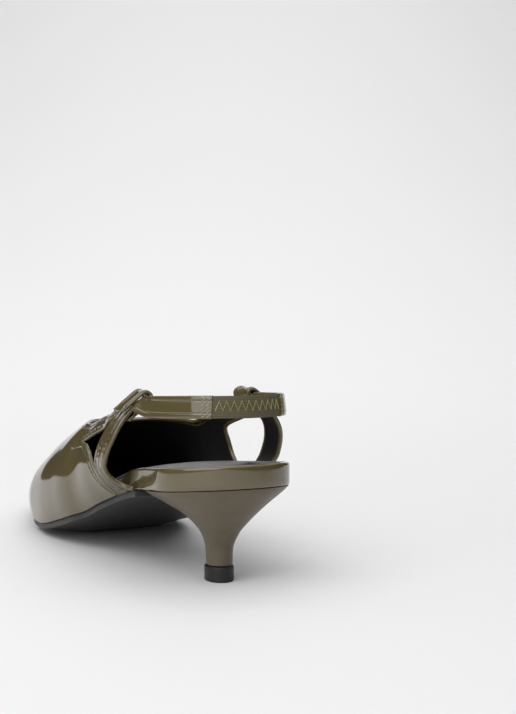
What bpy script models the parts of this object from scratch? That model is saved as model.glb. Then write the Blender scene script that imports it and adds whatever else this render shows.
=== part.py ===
# Slingback pump, left shoe, standing empty on its top lift and forefoot.
# Metres, +Z up, toe along +Y, the wearer's left (lateral) side along -X.
# The origin is the middle of the top lift's tread, on the floor.

import math

import bmesh
import bpy
from mathutils import Vector

for old in list(bpy.data.objects):
    bpy.data.objects.remove(old, do_unlink=True)

# Driving sizes
LENGTH = 0.250            # seat back to toe tip
BALL_WIDTH = 0.075        # outline of the feather line at the ball
SEAT_WIDTH = 0.0545       # outline of the feather line at the seat
SEAT_HEIGHT = 0.039       # floor to the underside of the seat, at its back
INSTEP = 0.077            # floor to the crest line over the side bands
TIP_FROM_BACK = 0.028     # seat back to the middle of the top lift

WALL = 0.0016             # upper: leather and lining together
GAP = 0.0003              # clearance between touching pieces
OUTSOLE = 0.0024          # outsole thickness
EDGE_RISE = 0.0030        # how far the sole's edges rise above its flat middle, under the forefoot
SEAT_EDGE = 0.0083        # board and seat pad together, at the seat
BOARD = 0.0030            # board thickness under the vamp
SOCK = 0.0010             # sock thickness
WRAP = 0.0011             # leather round the seat edge
BREAST = 0.050            # seat back to the heel breast

LIFT_HEIGHT = 0.0060      # top lift
LIFT_WIDTH = 0.0109
LIFT_LENGTH = 0.0126

STRAP_WIDTH = 0.0086      # sling strap
STRAP = 0.0020            # sling strap thickness
STRAP_TOP = 0.0735        # floor to the upper edge of the strap at the back
LOOP_TOP = 0.0709         # floor to the upper edge of the strap at the loops
STRAP_BACK = 0.0010       # how far the strap stands behind the seat back
ELASTIC_LENGTH = 0.029
ELASTIC = 0.0012
LOOP_WALL = 0.0010        # folded leather of a loop
LOOP_LENGTH = 0.0120      # loop, along the strap
LOOP_REACH = 0.0112       # how far a loop's leaves reach down from the strap's upper edge
LOOP_SLACK = 0.0004       # extra room inside a loop
LOOP_FROM_BACK = 0.0515   # seat back to the middle of a loop
MERGE = 0.00002
LIP = 0.55                # angle below the widest line at which the side ends, in radians

# Plan of the feather line: station along the length, half width as a share of
# the ball's or the seat's half width, and the middle's shift to the medial side
# as a share of the ball width.
PLAN = (
    # station, seat share, ball share, shift
    (0.000, 1.000, 0.000, 0.000),
    (0.120, 1.000, 0.000, 0.000),
    (0.200, 0.990, 0.000, 0.000),
    (0.280, 0.960, 0.000, -0.008),
    (0.360, 0.500, 0.362, -0.018),
    (0.440, 0.000, 0.785, -0.018),
    (0.520, 0.000, 0.905, 0.002),
    (0.600, 0.000, 0.980, 0.028),
    (0.660, 0.000, 1.000, 0.048),
    (0.740, 0.000, 0.915, 0.061),
    (0.810, 0.000, 0.780, 0.065),
    (0.880, 0.000, 0.625, 0.069),
    (0.940, 0.000, 0.478, 0.073),
    (1.000, 0.000, 0.330, 0.076),
)
BACK_ROUND = 0.115        # share of the length in which the seat rounds off
TOE_ROUND = 0.080         # share of the length in which the toe rounds off
TOE_BLUNT = 2.2           # squareness of the toe's end
RISE_START = 0.380        # stations between which the sole's edges come to their full rise
RISE_FULL = 0.600
TOE_FROM = 0.850          # station from which the rise fades again
TOE_FLAT = 0.80           # share of the rise that is gone at the toe tip
FLAT_MIDDLE = 0.40        # share of the half width that stays flat

# Underside of the board: station, height as a share of the seat height
PROFILE = (
    (0.000, 1.000),
    (0.100, 0.930),
    (0.200, 0.856),
    (0.280, 0.735),
    (0.360, 0.560),
    (0.440, 0.360),
    (0.520, 0.165),
    (0.580, 0.045),
    (0.630, 0.000),
    (0.760, 0.000),
    (0.860, 0.038),
    (0.940, 0.090),
    (1.000, 0.150),
)

# Sections of the last: station, how far the side stands past the feather line
# (share of the ball width), height of the widest line and of the crest (shares
# of the instep height above the floor), and the squareness of the arch.
SECTIONS = (
    # station, bulge, widest, crest, arch
    (0.150, 0.160, 0.600, 1.005, 1.00),
    (0.240, 0.158, 0.580, 1.000, 1.00),
    (0.320, 0.095, 0.531, 0.926, 1.00),
    (0.400, 0.070, 0.453, 0.876, 0.98),
    (0.480, 0.050, 0.361, 0.800, 0.95),
    (0.580, 0.030, 0.258, 0.692, 0.92),
    (0.660, 0.022, 0.214, 0.577, 0.90),
    (0.760, 0.020, 0.170, 0.446, 0.90),
    (0.860, 0.018, 0.148, 0.325, 0.88),
    (0.940, 0.014, 0.146, 0.250, 0.86),
    (1.000, 0.010, 0.152, 0.205, 0.86),
)


def column(table, name_index, station):
    """Monotone cubic through one column of a table, so a level stretch stays level."""
    xs = [row[0] for row in table]
    ys = [row[name_index] for row in table]
    if station <= xs[0]:
        return ys[0]
    if station >= xs[-1]:
        return ys[-1]
    steps = [(ys[i + 1] - ys[i]) / (xs[i + 1] - xs[i]) for i in range(len(xs) - 1)]
    slopes = [steps[0]]
    for before, after in zip(steps, steps[1:]):
        slopes.append(0.0 if before * after <= 0 else 2 * before * after / (before + after))
    slopes.append(steps[-1])
    i = max(k for k in range(len(xs) - 1) if xs[k] <= station)
    span = xs[i + 1] - xs[i]
    t = (station - xs[i]) / span
    return ((1 + 2 * t) * (1 - t) ** 2 * ys[i] + t * (1 - t) ** 2 * span * slopes[i]
            + t * t * (3 - 2 * t) * ys[i + 1] + t * t * (t - 1) * span * slopes[i + 1])


def round_off(station):
    """Closes the plan at the seat back and at the toe tip."""
    back = max(0.0, 1 - station / BACK_ROUND)
    toe = max(0.0, (station - 1 + TOE_ROUND) / TOE_ROUND)
    return math.sqrt(max(0.0, 1 - back * back)) * math.sqrt(max(0.0, 1 - toe ** TOE_BLUNT))


def half_width(station):
    seat = column(PLAN, 1, station) * SEAT_WIDTH / 2
    ball = column(PLAN, 2, station) * BALL_WIDTH / 2
    return (seat + ball) * round_off(station)


def middle(station):
    return column(PLAN, 3, station) * BALL_WIDTH


def underside(station):
    """Height of the board's underside above the floor."""
    return OUTSOLE + GAP + column(PROFILE, 1, station) * (SEAT_HEIGHT - OUTSOLE - GAP)


def eased(value, low, high):
    share = min(1.0, max(0.0, (value - low) / (high - low)))
    return share * share * (3 - 2 * share)


def edge_rise(station, share):
    """The forefoot's sole is flat in its middle and rises to its edges, less so at the toe."""
    ahead = eased(station, RISE_START, RISE_FULL) * (1 - TOE_FLAT * eased(station, TOE_FROM, 1.0))
    return EDGE_RISE * ahead * eased(abs(share), FLAT_MIDDLE, 1.0)


def along(station):
    """Station to the world's Y."""
    return station * LENGTH - TIP_FROM_BACK


def last_point(station, turn):
    """Outer surface of the upper: turn runs from -1, lateral feather line, to 1, medial."""
    feather = half_width(station)
    toe = round_off(station)
    low = underside(station) + edge_rise(station, 1.0)
    wide = feather + column(SECTIONS, 1, station) * BALL_WIDTH * toe
    widest = column(SECTIONS, 2, station) * INSTEP
    crest = widest + (column(SECTIONS, 3, station) * INSTEP - widest) * toe
    arch = column(SECTIONS, 4, station)
    angle = -LIP + (math.pi / 2 + LIP) * (1 - abs(turn))
    if angle >= 0:
        out = wide * max(0.0, math.cos(angle)) ** arch
        up = widest + (crest - widest) * math.sin(angle) ** arch
    else:
        below = -angle / LIP
        out = feather + (wide - feather) * (1 - below * below)
        up = widest - (widest - low) * below
    side = -1 if turn < 0 else 1
    return Vector((middle(station) + side * out, along(station), up))


# Cut outlines, seen from the side: distance from the seat back as a share of the
# length, height as a share of the instep height.
VAMP_LATERAL = (
    # ahead, up: up the vamp's topline to its peak, then back under the forward strap
    (0.280, 0.335),
    (0.282, 0.394),
    (0.297, 0.444),
    (0.317, 0.510),
    (0.342, 0.577),
    (0.368, 0.609),
    (0.400, 0.622),
    (0.425, 0.610),
    (0.440, 0.601),
    (0.400, 0.645),
    (0.348, 0.702),
)
VAMP_MEDIAL = (
    # ahead, up: the topline of the inner side, which stands higher and has no peak
    (0.280, 0.335),
    (0.284, 0.394),
    (0.300, 0.450),
    (0.323, 0.505),
    (0.336, 0.555),
    (0.340, 0.620),
    (0.338, 0.675),
    (0.326, 0.715),
)
BAND_FRONT = (
    # ahead, up: the forward strap's lower edge and down the band's front edge
    (0.290, 0.761),
    (0.240, 0.816),
    (0.232, 0.795),
    (0.232, 0.750),
    (0.245, 0.664),
    (0.257, 0.590),
    (0.266, 0.520),
    (0.271, 0.468),
    (0.275, 0.405),
    (0.277, 0.340),
)
BAND_REAR = (
    # ahead, up: rear edge of the side band, from below the feather line upwards
    (0.186, 0.380),
    (0.195, 0.436),
    (0.216, 0.450),
    (0.223, 0.475),
    (0.222, 0.515),
    (0.216, 0.560),
    (0.208, 0.610),
    (0.200, 0.655),
    (0.190, 0.720),
    (0.187, 0.780),
    (0.187, 0.860),
    (0.187, 1.100),
)
THROAT = (
    # ahead, half width as a share of the ball width, from the loops to the vamp point
    (0.100, 0.350),
    (0.188, 0.350),
    (0.236, 0.345),
    (0.292, 0.330),
    (0.348, 0.327),
    (0.400, 0.335),
    (0.448, 0.325),
    (0.492, 0.285),
    (0.528, 0.222),
    (0.556, 0.140),
    (0.570, 0.060),
    (0.573, 0.000),
)
# Heel: height as a share of the way from the top lift to the seat, back and front
# edge as distances from the seat back in shares of the breast, half width as a share
# of the seat's, and the squareness of the breast corners.
HEEL = (
    # height, back, front, half width, corners
    (0.00, 0.452, 0.668, 0.182, 0.80),
    (0.20, 0.446, 0.670, 0.190, 0.80),
    (0.40, 0.385, 0.690, 0.255, 0.76),
    (0.56, 0.285, 0.745, 0.375, 0.70),
    (0.70, 0.185, 0.835, 0.525, 0.64),
    (0.84, 0.095, 0.940, 0.730, 0.56),
    (0.94, 0.045, 0.985, 0.890, 0.50),
    (1.00, 0.026, 0.995, 0.968, 0.46),
)

shoe = bpy.data.collections.new("slingback_pump")
cutters = bpy.data.collections.new("cutters")
bpy.context.scene.collection.children.link(shoe)
bpy.context.scene.collection.children.link(cutters)


def finish(name, red, green, blue, roughness, coat=0.0):
    material = bpy.data.materials.new(name)
    material.use_nodes = True
    principled = material.node_tree.nodes["Principled BSDF"]
    principled.inputs["Base Color"].default_value = (red, green, blue, 1.0)
    principled.inputs["Roughness"].default_value = roughness
    principled.inputs["Metallic"].default_value = 0.0
    principled.inputs["Coat Weight"].default_value = coat
    return material


def place(name, bm, material, group=None):
    """Turns a bmesh into a named object of the shoe or of its cutters."""
    mesh = bpy.data.meshes.new(name)
    bm.to_mesh(mesh)
    bm.free()
    made = bpy.data.objects.new(name, mesh)
    if material:
        mesh.materials.append(material)
    (group or shoe).objects.link(made)
    return made


def grid(rows):
    """Open surface through rows of points, in a fresh bmesh."""
    bm = bmesh.new()
    lines = [[bm.verts.new(point) for point in row] for row in rows]
    for low, high in zip(lines, lines[1:]):
        for i in range(len(low) - 1):
            bm.faces.new((low[i], low[i + 1], high[i + 1], high[i]))
    bmesh.ops.remove_doubles(bm, verts=bm.verts, dist=MERGE)
    return bm


def solidify(made, thickness, offset):
    wall = made.modifiers.new("wall", "SOLIDIFY")
    wall.thickness = thickness
    wall.offset = offset
    wall.use_even_offset = True


def smooth_round(made, degrees=40.0):
    made.data.shade_smooth()
    made.data.set_sharp_from_angle(angle=math.radians(degrees))


def prism(name, outline, direction):
    """Cutter: a closed outline of points pushed along a direction."""
    bm = bmesh.new()
    face = bm.faces.new([bm.verts.new(point) for point in outline])
    pushed = bmesh.ops.extrude_face_region(bm, geom=[face])
    moved = [item for item in pushed["geom"] if isinstance(item, bmesh.types.BMVert)]
    bmesh.ops.translate(bm, verts=moved, vec=direction)
    bmesh.ops.recalc_face_normals(bm, faces=bm.faces)
    made = place(name, bm, None, cutters)
    made.hide_render = True
    made.display_type = "WIRE"
    return made


def cut(made, cutter):
    opening = made.modifiers.new(cutter.name, "BOOLEAN")
    opening.operation = "DIFFERENCE"
    opening.solver = "EXACT"
    opening.object = cutter


def stretch(points, parts):
    """Catmull-Rom curve through points, with so many parts to each span."""
    points = [Vector(point) for point in points]
    ends = [2 * points[0] - points[1]] + points + [2 * points[-1] - points[-2]]
    out = []
    for i in range(len(points) - 1):
        a, b, c, d = ends[i:i + 4]
        for k in range(parts):
            t = k / parts
            out.append(0.5 * (2 * b + (c - a) * t + (2 * a - 5 * b + 4 * c - d) * t * t
                              + (3 * b - a - 3 * c + d) * t ** 3))
    return out + [points[-1]]


def side_view(table):
    """Side outline in shares to points on the middle plane, smoothed between them."""
    return stretch([(0.0, along(ahead), up * INSTEP) for ahead, up in table], CUT_PARTS)


leather = finish("patent_leather", 0.060, 0.052, 0.030, 0.12, 0.8)
satin = finish("heel_satin", 0.115, 0.098, 0.060, 0.35)
stretch_band = finish("elastic", 0.140, 0.125, 0.060, 0.80)
lining = finish("sock_lining", 0.050, 0.050, 0.056, 0.55)
board_stuff = finish("insole_board", 0.160, 0.130, 0.095, 0.85)
rubber = finish("sole_rubber", 0.022, 0.022, 0.024, 0.60)

# Upper: the last's surface, given its wall, then cut to the photograph's outline
UPPER_START = 0.160
UPPER_ROWS = 40
TOE_ROWS = 8
UPPER_TURNS = 28
CUT_REACH = 0.080         # half length of a cutter across the shoe
CUT_PARTS = 3             # straight parts of a cut outline between two of its points

toe_start = 1 - TOE_ROUND
upper_stations = [UPPER_START + (toe_start - UPPER_START) * i / UPPER_ROWS for i in range(UPPER_ROWS)]
upper_stations += [toe_start + TOE_ROUND * math.sin(math.pi / 2 * i / TOE_ROWS)
                   for i in range(TOE_ROWS + 1)]
turns = [-1 + 2 * i / UPPER_TURNS for i in range(UPPER_TURNS + 1)]
upper = place("upper", grid([[last_point(s, t) for t in turns] for s in upper_stations]), leather)
solidify(upper, WALL, -1.0)
smooth_round(upper)

across = Vector((CUT_REACH, 0, 0))
cut(upper, prism("cut_side_lateral", side_view(VAMP_LATERAL + BAND_FRONT), -across))
cut(upper, prism("cut_side_medial", side_view(VAMP_MEDIAL + BAND_FRONT), across))
rear = [point - across for point in side_view(BAND_REAR)]
behind = along(UPPER_START) - CUT_REACH
rear += [Vector((-CUT_REACH, behind, rear[-1].z)), Vector((-CUT_REACH, behind, rear[0].z))]
cut(upper, prism("cut_band_rear", rear, 2 * across))
half = stretch([(middle(ahead) + out * BALL_WIDTH, along(ahead), 0.0) for ahead, out in THROAT], CUT_PARTS)
other = [Vector((2 * middle((p.y + TIP_FROM_BACK) / LENGTH) - p.x, p.y, 0.0)) for p in half[:-1]]
throat = half + other[::-1]
cut(upper, prism("cut_throat", throat, Vector((0, 0, 2 * INSTEP))))


def sheet(name, material, first, last, ends, inset, bottom, top):
    """Closed layer of the sole: the plan's outline, drawn in, between two heights."""
    lines = []
    drawn = ends / LENGTH
    for i in range(SHEET_ROWS + 1):
        share = 0.5 - 0.5 * math.cos(math.pi * i / SHEET_ROWS)
        station = first + (last - first) * share
        ahead = along(drawn + station * (1 - 2 * drawn))
        half = max(0.0, half_width(station) - inset(station))
        if i in (0, SHEET_ROWS) and station in (0.0, 1.0):
            half = 0.0
        line = []
        for k in range(SHEET_COLUMNS + 1):
            share = 2 * k / SHEET_COLUMNS - 1
            rise = edge_rise(station, share if half else 1.0)
            line.append(Vector((middle(station) + half * share, ahead, bottom(station) + rise)))
        lines.append(line)
    bm = grid(lines)
    raised = bmesh.ops.extrude_face_region(bm, geom=bm.faces[:])
    for item in raised["geom"]:
        if isinstance(item, bmesh.types.BMVert):
            station = ((item.co.y + TIP_FROM_BACK) / LENGTH - drawn) / (1 - 2 * drawn)
            item.co.z += top(station) - bottom(station)
    bmesh.ops.recalc_face_normals(bm, faces=bm.faces)
    made = place(name, bm, material)
    smooth_round(made, 30)
    return made


def pad_height(station):
    """Board and pad: full height at the seat, thin under the vamp."""
    return SEAT_EDGE + (BOARD - SEAT_EDGE) * eased(station, PAD_END, PAD_FADE)


def wrap_inset(station):
    """The wrapped edge draws in before the side bands and passes inside them."""
    return (WALL + GAP) * eased(station, WRAP_IN, WRAP_PASSES)


def board_inset(station):
    inside_wrap = wrap_inset(station) + WRAP + 2 * GAP
    inside_upper = WALL + 2 * GAP
    return inside_wrap + (inside_upper - inside_wrap) * eased(station, WRAP_END, WRAP_END + WRAP_TAPER)


SHEET_COLUMNS = 10
SHEET_ROWS = 42
PAD_END = 0.300           # share of the length at which the seat pad starts to thin
PAD_FADE = 0.520
WRAP_IN = 0.100           # share at which the wrapped edge starts to draw in
WRAP_PASSES = 0.165       # share at which it lies inside the side bands
WRAP_END = 0.300          # share at which the strip ends
WRAP_TAPER = 0.060
sheet("outsole", rubber, BREAST / LENGTH + GAP / LENGTH, 1.0, WALL / 2, lambda s: WALL / 2,
      lambda s: underside(s) - GAP - OUTSOLE, lambda s: underside(s) - GAP)
sheet("insole_board", board_stuff, 0.0, 1.0, WALL + 2 * GAP, board_inset,
      underside, lambda s: underside(s) + pad_height(s) - SOCK - GAP)
sheet("insole_sock", lining, 0.0, 1.0, WALL + 2 * GAP, board_inset,
      lambda s: underside(s) + pad_height(s) - SOCK, lambda s: underside(s) + pad_height(s))


# Seat wrap: a strip round the edge of the seat, ending inside the side bands
WRAP_ROWS = 52


def wrap_point(station, side, level):
    """Outer face of the strip: level 0 at the board's underside, 1 at its top."""
    out = half_width(station) - wrap_inset(station)
    height = pad_height(station) * (1 - WRAP_DROP * eased(station, WRAP_END - WRAP_TAPER, WRAP_END))
    return Vector((middle(station) + side * out, along(station), underside(station) + level * height))


WRAP_DROP = 0.35
path = []
for i in range(WRAP_ROWS + 1):
    part = 2 * i / WRAP_ROWS - 1
    station = WRAP_END * (1 - math.cos(math.pi / 2 * part))
    path.append((station, -1 if part < 0 else 1))
strip = [[wrap_point(station, side, level / 2) for level in range(3)] for station, side in path]
seat_wrap = place("seat_wrap", grid(strip), leather)
solidify(seat_wrap, WRAP, 1.0)
smooth_round(seat_wrap)

# Heel: rings from the top lift to the seat, each a rounded D
HEEL_POINTS = 28
HEEL_RINGS = 22


def heel_ring(level):
    back = column(HEEL, 1, level) * BREAST
    front = column(HEEL, 2, level) * BREAST - GAP
    wide = column(HEEL, 3, level) * SEAT_WIDTH / 2
    corners = column(HEEL, 4, level)
    ring = []
    for i in range(HEEL_POINTS):
        turn = 2 * math.pi * (i + 0.5) / HEEL_POINTS
        side, ahead = math.cos(turn), math.sin(turn)
        deepest = back + (front - back) * HEEL_WIDEST
        reach = (front - deepest) if ahead > 0 else (deepest - back)
        power = corners if ahead > 0 else 1.0
        y = deepest + reach * math.copysign(abs(ahead) ** power, ahead)
        x = wide * math.copysign(abs(side) ** power, side)
        seat = underside(y / LENGTH) - GAP
        z = LIFT_HEIGHT + GAP + level * (seat - LIFT_HEIGHT - GAP)
        ring.append(Vector((x, y - TIP_FROM_BACK, z)))
    return ring


HEEL_WIDEST = 0.52        # widest place, as a share of the way from back to front
rings = [heel_ring(i / HEEL_RINGS) for i in range(HEEL_RINGS + 1)]


def tower(rings):
    """Closed solid through rings of as many points each."""
    bm = grid([ring + ring[:1] for ring in rings])
    bmesh.ops.holes_fill(bm, edges=[edge for edge in bm.edges if edge.is_boundary], sides=0)
    bmesh.ops.recalc_face_normals(bm, faces=bm.faces)
    return bm


heel = place("heel", tower(rings), satin)
smooth_round(heel)

base = heel_ring(0.0)
spread = Vector((LIFT_WIDTH / (max(p.x for p in base) - min(p.x for p in base)),
                 LIFT_LENGTH / (max(p.y for p in base) - min(p.y for p in base)), 0.0))
mid_y = (max(p.y for p in base) + min(p.y for p in base)) / 2
lift_ring = [(p.x * spread.x, (p.y - mid_y) * spread.y) for p in base]
top_lift = place("top_lift", tower([[Vector((x, y, z)) for x, y in lift_ring]
                                    for z in (0.0, LIFT_HEIGHT)]), rubber)
smooth_round(top_lift)

HALVINGS = 40             # of a search, which leaves far less than a micron

# Loops, sling strap and elastic. The strap leaves each loop on the line of the
# upper and turns upright on its way round the back.
rear_edge = column([(up, ahead) for ahead, up in BAND_REAR], 1, LOOP_TOP / INSTEP)


def surface_at(station, side, height):
    """Point of the last at a height, above its widest line."""
    low, high = 0.0, 1.0
    for _ in range(HALVINGS):
        turn = (low + high) / 2
        if last_point(station, side * turn).z > height:
            low = turn
        else:
            high = turn
    return last_point(station, side * (low + high) / 2)


def band_edges(station, side):
    """Upper and lower edge of the strap's line on the middle of the upper's wall."""
    top = surface_at(station, side, LOOP_TOP)
    low = surface_at(station, side, LOOP_TOP - STRAP_WIDTH * LOOP_SLOPE)
    up = (top - low).normalized()
    away = Vector((side * up.z, 0.0, -side * up.x))
    top -= away * WALL / 2
    return top, top - up * STRAP_WIDTH, up, away


def strap_middle(side):
    """Centre line of the strap with its lean, from a loop to the middle of the back."""
    top, low, up, away = band_edges(rear_edge - 2 * GAP / LENGTH, side)
    lean = math.atan2(abs(up.x), up.z)
    mid = (top + low) / 2
    ahead, out = mid.y - along(0.0) + STRAP_BACK, abs(mid.x)
    points = []
    for k in range(STRAP_ROWS + 1):
        turn = math.pi / 2 * k / STRAP_ROWS
        back = math.sin(turn) ** (2 / STRAP_BOW)
        y = along(0.0) - STRAP_BACK + ahead * (1 - back)
        x = side * out * math.cos(turn)
        leaning = lean * (BACK_LEAN + (1 - BACK_LEAN) * math.exp(-(back / LEAN_FADE) ** 2))
        edge = STRAP_TOP - (STRAP_TOP - LOOP_TOP) * (1 - back) ** STRAP_SAG
        points.append((Vector((x, y, edge - STRAP_WIDTH / 2 * math.cos(leaning))), leaning))
    return points


STRAP_ROWS = 60
STRAP_BOW = 2.4           # squareness of the strap's plan round the back
BACK_LEAN = 0.12          # lean at the back as a share of the lean at the loops
LEAN_FADE = 0.22          # share of the way to the back in which the lean is lost
STRAP_SAG = 1.3           # how the upper edge's rise is spread along the strap
LOOP_SLOPE = 0.64         # strap's height over its width, where it leans with the upper
run = strap_middle(-1) + strap_middle(1)[::-1][1:]
middles = [point for point, lean in run]
lengths = [0.0]
for before, after in zip(middles, middles[1:]):
    lengths.append(lengths[-1] + (after - before).length)


def strap_rows(start, end, count, width):
    """Rows across the strap between two distances along it."""
    rows = []
    for k in range(count + 1):
        at = start + (end - start) * k / count
        i = max(j for j in range(len(lengths) - 1) if lengths[j] <= at + MERGE)
        share = (at - lengths[i]) / (lengths[i + 1] - lengths[i])
        point = middles[i].lerp(middles[i + 1], share)
        lean = run[i][1] + (run[i + 1][1] - run[i][1]) * share
        ahead = (middles[i + 1] - middles[i]).normalized()
        outward = Vector((ahead.y, -ahead.x, 0.0)).normalized()
        up = Vector((0, 0, math.cos(lean))) - outward * math.sin(lean)
        rows.append([point + up * width * (j / 2 - 0.5) for j in range(3)])
    return rows


total = lengths[-1]
stretch_start = (total - ELASTIC_LENGTH) / 2
for name, start, end, count, thick, stuff in (
        ("sling_lateral", 0.0, stretch_start - GAP, 22, STRAP, leather),
        ("elastic_back", stretch_start, total - stretch_start, 16, ELASTIC, stretch_band),
        ("sling_medial", total - stretch_start + GAP, total, 22, STRAP, leather)):
    band = place(name, grid(strap_rows(start, end, count, STRAP_WIDTH)), stuff)
    solidify(band, thick, 0.0)
    smooth_round(band)


def loop_rows(side):
    """Middle of the loop's leather: outer leaf, fold over the strap, inner leaf."""
    off = STRAP / 2 + GAP + LOOP_SLACK + LOOP_WALL / 2
    rows = []
    for k in range(LOOP_ROWS + 1):
        ahead = LOOP_FROM_BACK + LOOP_LENGTH * (k / LOOP_ROWS - 0.5)
        top, low, up, away = band_edges(ahead / LENGTH, side)
        low = top - up * LOOP_REACH
        row = [low + away * off, (low + top) / 2 + away * off]
        row += [top + away * off * math.cos(a) + up * off * math.sin(a)
                for a in (math.pi * j / LOOP_BENDS for j in range(LOOP_BENDS + 1))]
        row += [(low + top) / 2 - away * off, low - away * off]
        rows.append(row)
    return rows


LOOP_ROWS = 4
LOOP_BENDS = 6
for name, side in (("loop_lateral", -1), ("loop_medial", 1)):
    loop = place(name, grid(loop_rows(side)), leather)
    solidify(loop, LOOP_WALL, 0.0)
    smooth_round(loop)
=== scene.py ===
# Slingback pump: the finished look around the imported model.
# Metres, +Z up, toe along +Y, lateral side along -X, floor at 0.

import functools
import math

import bmesh
import bpy
from mathutils import Matrix, Vector
from mathutils.bvhtree import BVHTree
from mathutils.kdtree import KDTree


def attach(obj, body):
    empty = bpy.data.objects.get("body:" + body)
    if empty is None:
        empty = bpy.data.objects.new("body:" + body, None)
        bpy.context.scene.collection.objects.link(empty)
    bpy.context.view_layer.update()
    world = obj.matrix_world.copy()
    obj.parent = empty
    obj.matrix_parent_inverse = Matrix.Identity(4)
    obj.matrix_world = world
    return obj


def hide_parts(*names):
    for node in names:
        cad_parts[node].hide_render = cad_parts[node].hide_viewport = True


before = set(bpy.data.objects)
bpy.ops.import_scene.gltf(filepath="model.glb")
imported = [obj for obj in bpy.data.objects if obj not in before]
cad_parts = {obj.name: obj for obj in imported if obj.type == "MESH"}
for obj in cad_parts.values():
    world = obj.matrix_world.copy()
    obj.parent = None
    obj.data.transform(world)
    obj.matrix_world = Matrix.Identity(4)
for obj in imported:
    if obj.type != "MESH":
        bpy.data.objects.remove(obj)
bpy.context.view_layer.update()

# Studio: a narrow pale floor that runs up into a backdrop in a dark room, which the
# patent mirrors, with broad lights overhead, on the left and on the backdrop. The camera
# stands low behind the heel's lateral side, almost level, sized from the shoe itself.
TURN = math.radians(26.0)            # from the shoe's axis to the line of sight
CAMERA_HEIGHT = 0.1038
CAMERA_AWAY = 0.462                  # to the seat back, along the line of sight
CAMERA_SIDE = 0.0026                 # seat back left of the line of sight
TILT = math.radians(2.04)            # downwards
FOCAL = 1266.0 / 714.0               # in frame heights
SEAT_BACK = Vector((0.0, -0.028, 0.0))

sight = Vector((math.sin(TURN), math.cos(TURN), 0.0))
right = Vector((math.cos(TURN), -math.sin(TURN), 0.0))
lens = bpy.data.cameras.new("view")
lens.sensor_fit = "VERTICAL"
lens.sensor_height = 24.0
lens.lens = FOCAL * lens.sensor_height
lens.clip_start = 0.01
camera = bpy.data.objects.new("view", lens)
camera.location = SEAT_BACK - sight * CAMERA_AWAY + right * CAMERA_SIDE + Vector((0, 0, CAMERA_HEIGHT))
camera.rotation_euler = (math.pi / 2 - TILT, 0.0, -TURN)
bpy.context.scene.collection.objects.link(camera)
bpy.context.scene.camera = camera
bpy.context.scene.view_settings.view_transform = "Standard"


class Shade:
    """A socket of a node tree; arithmetic on it adds Math nodes."""

    def __init__(self, tree, socket=None):
        self.tree = tree
        self.socket = socket

    def node(self, kind, settings=None, values=None, output=0):
        """Any node: its settings first, then the values or links of its sockets."""
        made = self.tree.nodes.new(kind)
        for name, setting in (settings or {}).items():
            if name == "stops":
                ramp = made.color_ramp
                while len(ramp.elements) < len(setting):
                    ramp.elements.new(0.5)
                for element, (at, color) in zip(ramp.elements, setting):
                    element.position = at
                    element.color = (*color, 1.0)
            else:
                setattr(made, name, setting)
        for name, value in (values or {}).items():
            if isinstance(value, Shade):
                self.tree.links.new(value.socket, made.inputs[name])
            else:
                made.inputs[name].default_value = value
        return Shade(self.tree, made.outputs[output] if made.outputs else None)

    def math(self, operation, *values):
        return self.node("ShaderNodeMath", {"operation": operation}, dict(enumerate(values)))

    def __add__(self, other):
        return self.math("ADD", self, other)

    def __radd__(self, other):
        return self.math("ADD", other, self)

    def __sub__(self, other):
        return self.math("SUBTRACT", self, other)

    def __rsub__(self, other):
        return self.math("SUBTRACT", other, self)

    def __mul__(self, other):
        return self.math("MULTIPLY", self, other)

    def __rmul__(self, other):
        return self.math("MULTIPLY", other, self)

    def ease(self, low, high):
        """0 below low, 1 above high, smooth between."""
        return self.node("ShaderNodeMapRange", {"interpolation_type": "SMOOTHSTEP"},
                         {"Value": self, "From Min": low, "From Max": high})


BACKGROUND = (0.86, 0.855, 0.86)
DARK_SIDES = 0.03                    # the unlit room round the set, as the patent mirrors it
OPEN_TOP = 0.92                      # soft light from above
OPEN_FROM = 0.45                     # how high it begins and is full, as upward shares of a ray
OPEN_FULL = 0.60
world = bpy.data.worlds.new("studio")
bpy.context.scene.world = world
world.use_nodes = True
world.node_tree.nodes.clear()
sky = Shade(world.node_tree)
seen = sky.node("ShaderNodeBackground", None, {"Color": (*BACKGROUND, 1.0), "Strength": 1.0})
around = sky.node("ShaderNodeTexCoord", output="Generated")
direction = sky.node("ShaderNodeSeparateXYZ", None, {"Vector": around})
high = Shade(world.node_tree, direction.socket.node.outputs["Z"])
glow = DARK_SIDES + OPEN_TOP * high.ease(OPEN_FROM, OPEN_FULL)
lit = sky.node("ShaderNodeBackground", None, {"Color": (*BACKGROUND, 1.0), "Strength": glow})
ray = sky.node("ShaderNodeLightPath")
mixed = sky.node("ShaderNodeMixShader", None, {0: ray, 1: lit, 2: seen})
sky.node("ShaderNodeOutputWorld", None, {"Surface": mixed})

FLOOR_REACH = 3.0
FLOOR_ROWS = 48
FLOOR_SIDE = 0.38                    # half width at the shoe; past it the patent mirrors the dark
FLOOR_SPREAD = 0.10                  # how much wider it gets with each metre away from the camera
SWEEP = 0.9                          # radius of the bend from floor to backdrop
SWEEP_START = 0.6
bm = bmesh.new()
bmesh.ops.create_grid(bm, x_segments=2, y_segments=FLOOR_ROWS, size=FLOOR_REACH)
for vert in bm.verts:
    vert.co.x *= max(FLOOR_SIDE / 2, FLOOR_SIDE + FLOOR_SPREAD * vert.co.y) / FLOOR_REACH
    past = vert.co.y - SWEEP_START
    if past > 0:
        bend = min(past / SWEEP, math.pi / 2)
        vert.co.y = SWEEP_START + SWEEP * math.sin(bend)
        vert.co.z = SWEEP * (1 - math.cos(bend)) + max(0.0, past - SWEEP * math.pi / 2)
bmesh.ops.rotate(bm, verts=bm.verts, matrix=Matrix.Rotation(-TURN, 3, "Z"))
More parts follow.
